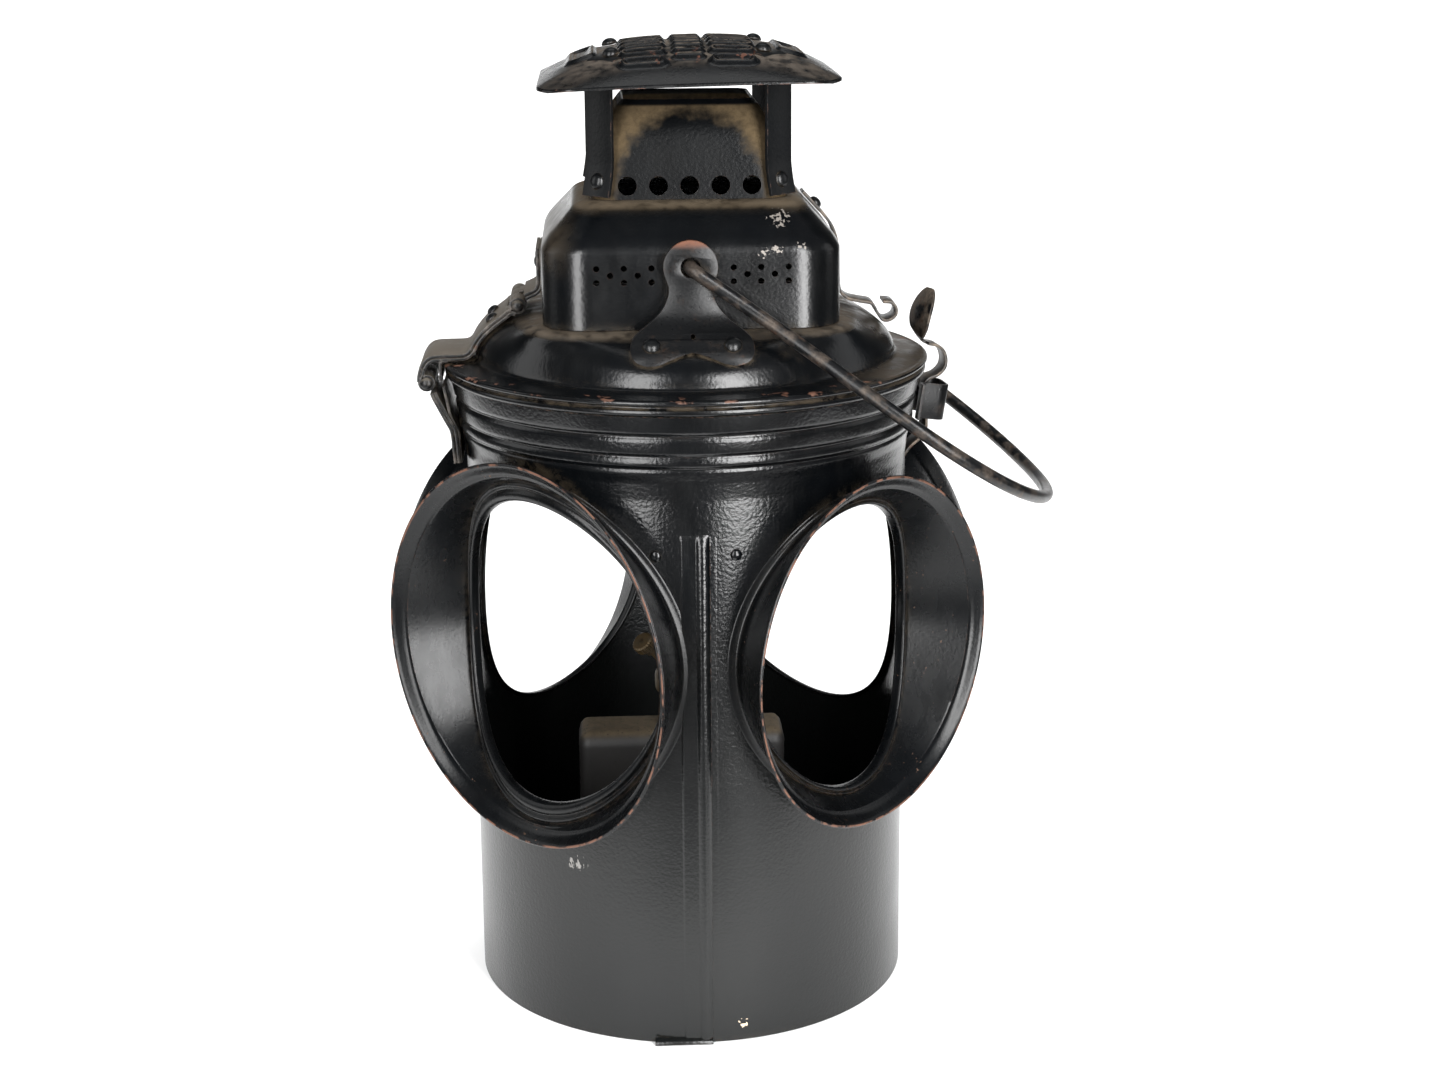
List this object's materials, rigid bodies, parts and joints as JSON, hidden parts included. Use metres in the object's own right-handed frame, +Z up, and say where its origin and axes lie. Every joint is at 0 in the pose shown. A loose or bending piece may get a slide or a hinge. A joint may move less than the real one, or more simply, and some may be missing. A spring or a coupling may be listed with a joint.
{
  "type": "railway signal lamp",
  "caption": "Cylindrical sheet-steel signal lamp with lens hoods on its diagonals, a hinged lid, a hinged ventilator under a rain cap, a wire bail and an oil fount inside.",
  "frame": {"origin": "centre of the floor plate's underside, on the axis of the round body", "axes": "+Z up along the body's axis; -Y is the front, where the body's lock seam is; +X is the side with the lid's latch, opposite the hinges"},
  "size_m": [0.2712, 0.2438, 0.3869],
  "materials": {
    "black_paint": "satin black oil paint over sheet steel, finely wrinkled, chipped and dusty in the corners",
    "worn_steel": "worn black paint over bare brown-grey steel",
    "dusty_tin": "dull tinned sheet under tan dust",
    "aged_brass": "dark tarnished brass",
    "cotton_wick": "woven cotton, charred at the top"
  },
  "bodies": {
    "lamp_body": {"body_shell": "black_paint", "lens_hood_front_left": "black_paint", "lens_hood_front_right": "black_paint", "lens_hood_rear_right": "black_paint", "lens_hood_rear_left": "black_paint", "lock_seam": "black_paint", "body_rivet_left": "black_paint", "body_rivet_right": "black_paint", "floor_plate": "black_paint", "body_hinge_leaf": "worn_steel", "lid_hinge_pin": "worn_steel", "latch_keeper": "worn_steel"},
    "lid": {"lid_shell": "black_paint", "lid_hinge_strap": "worn_steel", "vent_hinge_pin": "worn_steel", "strap_rivet_front": "black_paint", "strap_rivet_rear": "black_paint", "bail_ear_front": "worn_steel", "bail_ear_rear": "worn_steel", "ear_rivet_front_left": "black_paint", "ear_rivet_front_right": "black_paint", "ear_rivet_rear_left": "black_paint", "ear_rivet_rear_right": "black_paint"},
    "ventilator": {"vent_dome": "black_paint", "chimney": "black_paint", "rain_cap": "black_paint", "cap_leg_front_left": "black_paint", "cap_leg_front_right": "black_paint", "cap_leg_rear_left": "black_paint", "cap_leg_rear_right": "black_paint", "cap_rivet_front_left": "black_paint", "cap_rivet_front_right": "black_paint", "cap_rivet_rear_left": "black_paint", "cap_rivet_rear_right": "black_paint", "leg_rivet_front_left": "black_paint", "leg_rivet_front_right": "black_paint", "leg_rivet_rear_left": "black_paint", "leg_rivet_rear_right": "black_paint", "vent_hinge_strap": "worn_steel", "vent_strap_rivet_front": "black_paint", "vent_strap_rivet_rear": "black_paint"},
    "vent_catch": {"vent_catch_spring": "worn_steel", "vent_catch_rivet": "worn_steel"},
    "bail_handle": {"bail": "worn_steel"},
    "latch": {"lid_latch": "worn_steel"},
    "oil_fount": {"fount": "dusty_tin", "burner": "aged_brass"},
    "wick_knob": {"wick_wheel": "aged_brass"},
    "wick_strip": {"wick": "cotton_wick"}
  },
  "joints": [
    {"name": "lid_hinge", "type": "hinge", "parent": "lamp_body", "child": "lid", "pos_m": [-0.1032, 0, 0.2539], "axis": [0, -1, 0], "range_deg": [0, 100]},
    {"name": "ventilator_hinge", "type": "hinge", "parent": "lid", "child": "ventilator", "pos_m": [-0.0665, 0, 0.2842], "axis": [0, -1, 0], "range_deg": [0, 75]},
    {"name": "bail_pivot", "type": "hinge", "parent": "lid", "child": "bail_handle", "pos_m": [0, 0, 0.3054], "axis": [0, -1, 0], "range_deg": [0, 205]},
    {"name": "latch_flex", "type": "hinge", "parent": "lamp_body", "child": "latch", "pos_m": [0.08922, 0.01254, 0.206], "axis": [-0.1392, 0.9903, 0], "range_deg": [0, 6], "stiffness_Nm_per_rad": 1.2},
    {"name": "vent_catch_flex", "type": "hinge", "parent": "ventilator", "child": "vent_catch", "pos_m": [0.0469, 0, 0.3259], "axis": [0, -1, 0], "range_deg": [0, 6], "stiffness_Nm_per_rad": 0.8},
    {"name": "fount_lift", "type": "slide", "parent": "lamp_body", "child": "oil_fount", "axis": [0, 0, 1], "range_m": [0, 0.1]},
    {"name": "wick_knob_turn", "type": "hinge", "parent": "oil_fount", "child": "wick_knob", "pos_m": [-0.0062, -0.0052, 0.1266], "axis": [-0.5338, -0.4565, 0.7118], "range_deg": [0, 90]},
    {"name": "wick_rise", "type": "slide", "parent": "oil_fount", "child": "wick_strip", "axis": [0, 0, 1], "range_m": [0, 0.00628]}
  ],
  "couplings": [
    {"joint": "wick_knob_turn", "follows": "wick_rise", "rad_per_m": 250}
  ]
}
